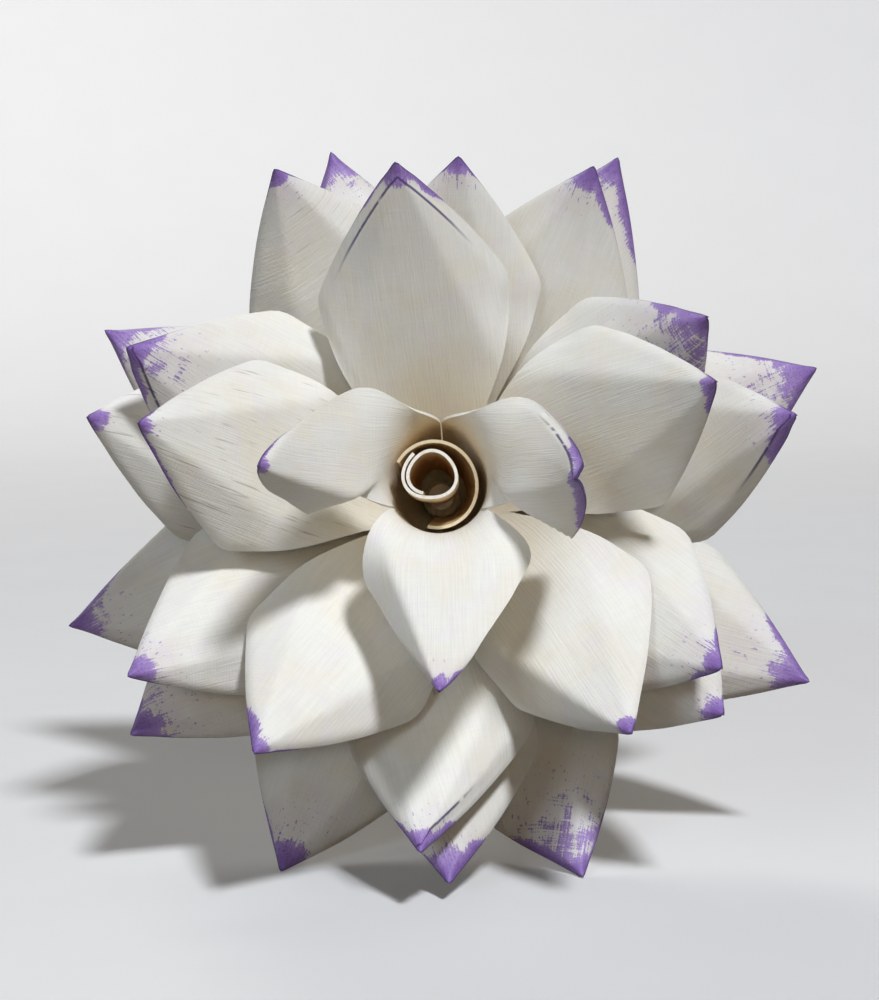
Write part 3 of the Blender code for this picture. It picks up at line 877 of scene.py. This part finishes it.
def wrap_plan(along, up):
    """A loose turn that leaves a gap below, with a rim that dips towards its end."""
    bearing = np.radians(WRAP_FROM + (WRAP_TO - WRAP_FROM) * along)
    top = WRAP_TOP + WRAP_SLANT * np.cos(bearing - WRAP_HIGH_SIDE)
    top = top - WRAP_DIPS * smooth((along - 0.3) / 0.6)
    radius = WRAP_RADIUS * (1.0 + WRAP_OVAL * np.cos(2.0 * bearing))
    return wall_points(up, WRAP_CENTRE, bearing, radius, WRAP_BOTTOM, top, 17, WRAP_LEAN)


print("turns of the roll:", ROLL_TURNS, "and of the wrap:", round((WRAP_FROM - WRAP_TO) / 360, 2))

# %% [markdown]
# The roll was painted too, thinly, before it was rolled. Below the rim its colour turns tan and then
# browner with depth: partly thin paint that lets the paper's brown show, and partly painted shade
# for the dark inside a narrow tube. The lighter rim is a painted highlight.

# %% The rolled paper's finish
# Rim, upper and deep colours: the lighter rim is a painted highlight, and the browner depth is painted
# shade as well as thin paint.
ROLL_RIM_TO_SHADED_DEPTH = (linear(246, 241, 230), linear(226, 204, 168), linear(204, 158, 98))
WRAP_RIM_TO_SHADED_DEPTH = (linear(226, 210, 176), linear(218, 192, 144), linear(206, 160, 98))
print("colours each, from the rim down:", len(ROLL_RIM_TO_SHADED_DEPTH))


def rolled_paper(name, rim_highlight_colour, upper, shaded_deep_down):
    """Cream at the rim, a painted highlight, then tan, and browner with depth, which is painted shade as
    well as thin paint, with fibres running down.
    """
    finish = Finish(name, roughness=0.7)
    place = finish.attribute("wall_place")
    _, below, _ = finish.parts(place)
    fibres = finish.strokes(place, (5.0, 0.5, 1.0), 3.0, 0.6)
    blots = finish.noise(place, 0.6, 2.0)
    # Painted shade: browner with depth below the rim, as well as thin paint.
    shade_with_depth = (below + (blots - 0.5) * 3.0).eased(0.2, 9.0)
    colour = finish.mixed(shade_with_depth, upper, shaded_deep_down)
    colour = finish.mixed(fibres.eased(0.45, 0.75) * 0.25, colour, BARE_PAPER, "MULTIPLY")
    # Painted highlight: the rim is lighter.
    rim = (1.0 - below.eased(0.05, 0.34)) * (0.55 + blots.eased(0.35, 0.55) * 0.45)
    colour = finish.mixed(rim, colour, rim_highlight_colour)
    finish.surface(Base_Color=colour, Roughness=0.72 - fibres * 0.08,
                   Normal=finish.bump(fibres, 0.0001, 0.5))
    return finish.material


# %% Roll the centre
for name, node, columns, plan, colours in (
        ("centre_roll_paper", "one_petal_roll", 150, roll_plan, ROLL_RIM_TO_SHADED_DEPTH),
        ("loose_wrap_paper", "two_petal_wrap", 110, wrap_plan, WRAP_RIM_TO_SHADED_DEPTH)):
    finish = rolled_paper(name.replace("_paper", "_paint"), *colours)
    piece = add_piece(name, paper_wall(name, columns, plan), finish)
    thicken(piece, PAPER)
    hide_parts(node)
    print(piece.name, len(piece.data.vertices), "points")

# %% [markdown]
# ## The taped stem
#
# Florist's tape is a crepe strip stretched and wound up the wire, each turn lapping over the last. A
# plain tube with a striped bump would look painted on from the side, so the tube's own rows run
# along the winding and its radius has a step at each lap, all the way to the cut end.

# %% Wind the tape
STEM_LENGTH = 0.160
TAPE_TOP = 0.0090
TAPE_END = 0.00015 - STEM_LENGTH
TAPE_RADIUS = 0.00119
TAPE_LAP = 0.00017
TAPE_WALL = 0.00010
TAPE_PITCH = 0.0052
TAPE_SIDES = 36
LAP_STEP = 0.035
LAP_PHASES = (0.0, LAP_STEP, 0.30, 0.62, 0.985)
TAPE_THINS = 0.9
TAPE_WELD = 2e-6
TAPE_ROUND = 7.4


def tape_radius(lap):
    """The tape steps up where a turn begins, then settles towards the wire."""
    if lap < LAP_STEP:
        return TAPE_RADIUS - TAPE_LAP * (1.0 - smooth(lap / LAP_STEP))
    return TAPE_RADIUS - TAPE_LAP * TAPE_THINS * lap


print("tape:", TAPE_ROUND, "mm round, with a lap every", round(TAPE_PITCH / MM, 1), "mm")

# %% The mesh of the tape
def tape_mesh():
    """Each ring climbs one pitch as it goes round, and then meets the ring one turn further up."""
    turns = int((STEM_LENGTH + TAPE_TOP) / TAPE_PITCH) + 2
    heights = [turn + phase for turn in range(-1, turns) for phase in LAP_PHASES]
    bm = bmesh.new()
    layer = bm.verts.layers.float_vector.new("tape_place")
    rings = []
    for height in heights:
        ring = []
        lap = height % 1.0
        radius = tape_radius(lap)
        for side in range(TAPE_SIDES):
            share = side / TAPE_SIDES
            z = min(max(-STEM_LENGTH + (height + share) * TAPE_PITCH, TAPE_END), TAPE_TOP)
            turn = 2.0 * math.pi * share
            vert = bm.verts.new((radius * math.cos(turn), radius * math.sin(turn), z))
            vert[layer] = (share * TAPE_ROUND, z / MM, lap)
            ring.append(vert)
        rings.append(ring)
    for low, high in zip(rings, rings[1:]):
        for side in range(TAPE_SIDES - 1):
            bm.faces.new((low[side], low[side + 1], high[side + 1], high[side]))
    for at in range(len(rings) - len(LAP_PHASES) - 1):
        low, high = rings[at], rings[at + 1]
        lap_low, lap_high = rings[at + len(LAP_PHASES)], rings[at + len(LAP_PHASES) + 1]
        bm.faces.new((low[-1], lap_low[0], lap_high[0], high[-1]))
    bmesh.ops.remove_doubles(bm, verts=bm.verts, dist=TAPE_WELD)
    bmesh.ops.dissolve_degenerate(bm, dist=TAPE_WELD, edges=bm.edges)
    return built_mesh(bm, "wound_tape")


tape_surface = tape_mesh()
print("tape:", len(tape_surface.vertices), "points along the winding")

# %% The tape's finish
TAPE_GREEN = linear(38, 62, 34)
TAPE_LIGHT = linear(74, 100, 60)


def florist_tape(name):
    """Waxed crepe: fine wrinkles across the stem, lighter towards the edge of each turn."""
    finish = Finish(name, roughness=0.55, sheen_weight=0.25)
    place = finish.attribute("tape_place")
    _, _, lap = finish.parts(place)
    crepe = finish.strokes(place, (1.2, 5.0, 1.0), 3.0, 0.65)
    blotch = finish.noise(place, 0.5, 2.0)
    light = crepe.eased(0.42, 0.75) * 0.6 + blotch.eased(0.5, 0.8) * 0.3 + lap * 0.15
    finish.surface(Base_Color=finish.mixed(light.at_most(1.0), TAPE_GREEN, TAPE_LIGHT),
                   Roughness=0.50 + crepe * 0.2, Normal=finish.bump(crepe, 0.00012, 0.8))
    return finish.material


tape = add_piece("wound_stem_tape", tape_surface, florist_tape("florist_tape_green"))
thicken(tape, TAPE_WALL, -1.0)
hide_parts("stem_tape")
print(tape.name, len(tape.data.vertices), "points")

# %% [markdown]
# ## Wire and hot glue
#
# The wire shows only at the cut end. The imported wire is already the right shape, so it only gets a
# finish. Hot glue is cloudy, with soft bumps where it sagged before it set. The bead behind the head is
# the one that can be seen, so it gets lumps.

# %% The wire's finish
def redress(node, finish):
    """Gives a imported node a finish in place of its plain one."""
    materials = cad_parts[node].data.materials
    materials.clear()
    materials.append(finish)


def cut_wire(name):
    """Drawn steel, with fine lines along the wire."""
    finish = Finish(name, metallic=1.0, roughness=0.35)
    place = finish.node("ShaderNodeTexCoord")["Object"]
    drawn = finish.strokes(place, (3000.0, 150.0, 3000.0), 2.0)
    finish.surface(Base_Color=finish.mixed(drawn, linear(150, 148, 145), linear(196, 195, 192)),
                   Roughness=0.28 + drawn * 0.2, Normal=finish.bump(drawn, 0.00003, 0.4))
    return finish.material


redress("stem_wire", cut_wire("drawn_wire_steel"))
print("wire: packed shape kept,", len(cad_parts["stem_wire"].data.vertices), "points")

# %% The glue's finish
def hot_glue(name):
    """Cloudy and a little translucent, with a soft shine."""
    finish = Finish(name, roughness=0.28, subsurface_weight=0.35, subsurface_scale=0.0008)
    place = finish.node("ShaderNodeTexCoord")["Object"]
    cloud = finish.noise(place, 900.0, 3.0)
    finish.surface(Base_Color=finish.mixed(cloud, linear(228, 222, 204), linear(206, 194, 166)),
                   Roughness=0.22 + cloud * 0.2, Normal=finish.bump(cloud, 0.0002, 0.35))
    return finish.material


glue = hot_glue("cloudy_hot_glue")
glued = [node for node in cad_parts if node.startswith("glue_")]
for node in glued:
    redress(node, glue)
print("glue beads:", len(glued))

# %% The bead behind the head
GLUE_BORE = 0.00135
BEAD_TOP = -0.00036
BEAD = ((GLUE_BORE, -0.00040), (0.0028, BEAD_TOP), (0.0040, BEAD_TOP), (0.0042, -0.00070),
        (0.0038, -0.00125), (0.0031, -0.0019), (0.0024, -0.0025), (0.0018, -0.0031),
        (GLUE_BORE, -0.0034))
BEAD_SIDES = 72
BEAD_SHRINKS = 0.12


def bead_mesh():
    """A turned ring of glue whose radius and depth swell and sink round the wire."""
    bm = bmesh.new()
    rings = []
    for side in range(BEAD_SIDES):
        turn = 2.0 * math.pi * side / BEAD_SIDES
        lump = 1.0 + 0.10 * math.sin(3 * turn + 0.7) + 0.07 * math.sin(5 * turn + 2.1)
        ring = []
        for radius, z in BEAD:
            out = (radius - GLUE_BORE) * (lump - BEAD_SHRINKS) + GLUE_BORE
            low = BEAD_TOP + (z - BEAD_TOP) * (0.92 + 0.08 * math.sin(2 * turn + 1.3))
            ring.append(bm.verts.new((out * math.cos(turn), out * math.sin(turn), low)))
        rings.append(ring)
    count = len(BEAD)
    for ring, after in zip(rings, rings[1:] + rings[:1]):
        for at in range(count):
            bm.faces.new((ring[at], after[at], after[(at + 1) % count], ring[(at + 1) % count]))
    bmesh.ops.recalc_face_normals(bm, faces=bm.faces)
    return built_mesh(bm, "glue_bead")


bead = add_piece("back_glue_bead", bead_mesh(), glue)
rounding = bead.modifiers.new("soft glue", "SUBSURF")
rounding.levels = 1
rounding.render_levels = 1
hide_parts("glue_behind_head")
print(bead.name, len(bead.data.vertices), "points before rounding")

# %% [markdown]
# ## Floor and backdrop
#
# A seamless sweep keeps the horizon out of the picture: the floor runs back and curves up into the wall.
# It is one pale sheet, so the flower's soft shadow is all that falls on it. Far from the lamps a real
# sweep fades to grey, so a little emission, for the camera's rays only, keeps it pale. All other rays
# meet a darker sheet, which leaves the undersides of the petals their shade.

# %% The studio sweep
SWEEP_FRONT, SWEEP_BACK, SWEEP_HALF = -1.4, 0.9, 2.2
SWEEP_CURVE, CURVE_STEPS = 0.5, 12
SWEEP_TOP = 2.2


def sweep_profile():
    """The side view of the sweep: floor, quarter circle, wall."""
    points = [(SWEEP_FRONT, 0.0)]
    for step in range(CURVE_STEPS + 1):
        turn = math.pi / 2 * step / CURVE_STEPS
        points.append((SWEEP_BACK - SWEEP_CURVE + SWEEP_CURVE * math.sin(turn),
                       SWEEP_CURVE * (1.0 - math.cos(turn))))
    points.append((SWEEP_BACK, SWEEP_TOP))
    return points


print("sweep profile points:", len(sweep_profile()))

# %% The sweep's finish
SWEEP_BOUNCE = linear(84, 78, 70)
BACK_PALER, BACK_GLOW = (0.10, 0.75), 0.17
FRONT_PALER, FRONT_GLOW = (0.80, 1.35), 0.5


def pale_sweep(name):
    """Pale matt paper that looks evenly lit to the camera."""
    finish = Finish(name, roughness=0.9)
    place = finish.node("ShaderNodeTexCoord")["Object"]
    mottle = finish.noise(place, 40.0, 3.0)
    pale = finish.mixed(mottle, linear(238, 237, 235), linear(243, 242, 240))
    rays = finish.node("ShaderNodeLightPath")
    seen = rays["Is Camera Ray"].at_least(rays["Is Glossy Ray"])
    _, back, _ = finish.parts(place)
    glow = back.eased(*BACK_PALER) * BACK_GLOW
    glow = (glow + (-back).eased(*FRONT_PALER) * FRONT_GLOW) * seen
    finish.surface(Base_Color=finish.mixed(seen, SWEEP_BOUNCE, pale),
                   Emission_Color=finish.grey(glow), Emission_Strength=1.0)
    return finish.material


print("glow behind the flower:", BACK_GLOW)

# %% Lay the sweep
bm = bmesh.new()
columns = [[bm.verts.new((x, y, z)) for y, z in sweep_profile()]
           for x in (-SWEEP_HALF, SWEEP_HALF)]
for at in range(len(columns[0]) - 1):
    bm.faces.new((columns[0][at], columns[1][at], columns[1][at + 1], columns[0][at + 1]))
sweep_mesh = built_mesh(bm, "studio_sweep")
sweep_mesh.shade_smooth()
sweep_mesh.materials.append(pale_sweep("pale_sweep"))
sweep = put_in_scene("studio_sweep", sweep_mesh)
print("sweep points:", len(sweep_mesh.vertices))

# %% [markdown]
# ## Light
#
# One soft lamp shines from above and to the right of the lens, as the light falls on the real flower, and
# casts its shadows. A wide cool lamp on the left makes the petals that face it bluish white, as
# daylight from a window does. A weak warm lamp past the lens reaches down the throat, and another one
# behind keeps the back readable. The room is dim and warm, which browns the folds; the camera sees a
# pale grey in its place. The lamps themselves are hidden from the camera.

# %% Lamps and world
LOOK_AT = Vector((0.0008, -0.075, 0.044))
LAMPS = {
    "key_from_upper_right": ((0.44, -1.10, 1.36), 0.22, 24.5, (0.90, 0.935, 1.0)),
    "cool_fill_from_the_left": ((-0.60, -1.165, 0.556), 0.50, 3.3, (0.74, 0.86, 1.0)),
    "warm_fill_past_the_lens": ((0.05, -1.165, 0.296), 0.24, 1.0, (1.0, 0.80, 0.55)),
    "weak_light_on_the_back": ((-0.40, 0.75, 0.75), 0.50, 3.0, (1.0, 0.98, 0.95)),
}


def soft_lamp(name, at, size, power, colour):
    """A round lamp at a place, turned to the flower."""
    light = bpy.data.lights.new(name, "AREA")
    light.shape = "DISK"
    light.size = size
    light.energy = power
    light.color = colour
    lamp = put_in_scene(name, light)
    lamp.location = at
    lamp.visible_camera = False
    lamp.rotation_euler = (LOOK_AT - Vector(at)).to_track_quat("-Z", "Y").to_euler()


for name, described in LAMPS.items():
    soft_lamp(name, *described)

# %% The room
ROOM_COLOUR = (1.0, 0.90, 0.76)
ROOM_LEVEL = 0.04

world = bpy.data.worlds.new("soft_room")
bpy.context.scene.world = world
world.use_nodes = True
world.node_tree.nodes.clear()
room = Recipe(world.node_tree)
dim = room.node("ShaderNodeBackground", {}, {"Color": ROOM_COLOUR, "Strength": ROOM_LEVEL})[0]
pale = room.node("ShaderNodeBackground", {}, {"Color": linear(204, 204, 203)})[0]
seen = room.node("ShaderNodeLightPath")["Is Camera Ray"]
either = room.node("ShaderNodeMixShader", {}, {0: seen, 1: dim, 2: pale})[0]
room.node("ShaderNodeOutputWorld", {}, {"Surface": either})
bpy.context.scene.view_settings.view_transform = "Standard"
print("room level:", ROOM_LEVEL)

# %% [markdown]
# ## Camera
#
# The face of the flower points a little above the lens and a little past it, as in the photo. The
# distance sets how much larger the near petals look, so it is kept, and the lens alone frames the flower.

# %% Place the camera
VIEW_FROM_AXIS = (math.radians(8.0), math.radians(-2.0))
CAMERA_DISTANCE = 0.230
AIM_HEIGHT = 0.030
LENS = 86.0


def camera_place():
    """Where the lens is, from the angles between the flower's axis and the line of sight."""
    up, side = VIEW_FROM_AXIS
    away = Vector((-math.tan(side), -math.tan(up), 1.0)).normalized()
    return HEAD @ (Vector((0.0, 0.0, AIM_HEIGHT)) + away * CAMERA_DISTANCE)


lens = bpy.data.cameras.new("camera")
lens.sensor_fit = "HORIZONTAL"
lens.lens = LENS
lens.clip_start = 0.01
camera = put_in_scene("camera", lens)
camera.location = camera_place()
camera.rotation_euler = (LOOK_AT - camera.location).to_track_quat("-Z", "Y").to_euler()
bpy.context.scene.camera = camera
print("camera at", [round(value, 3) for value in camera.location])
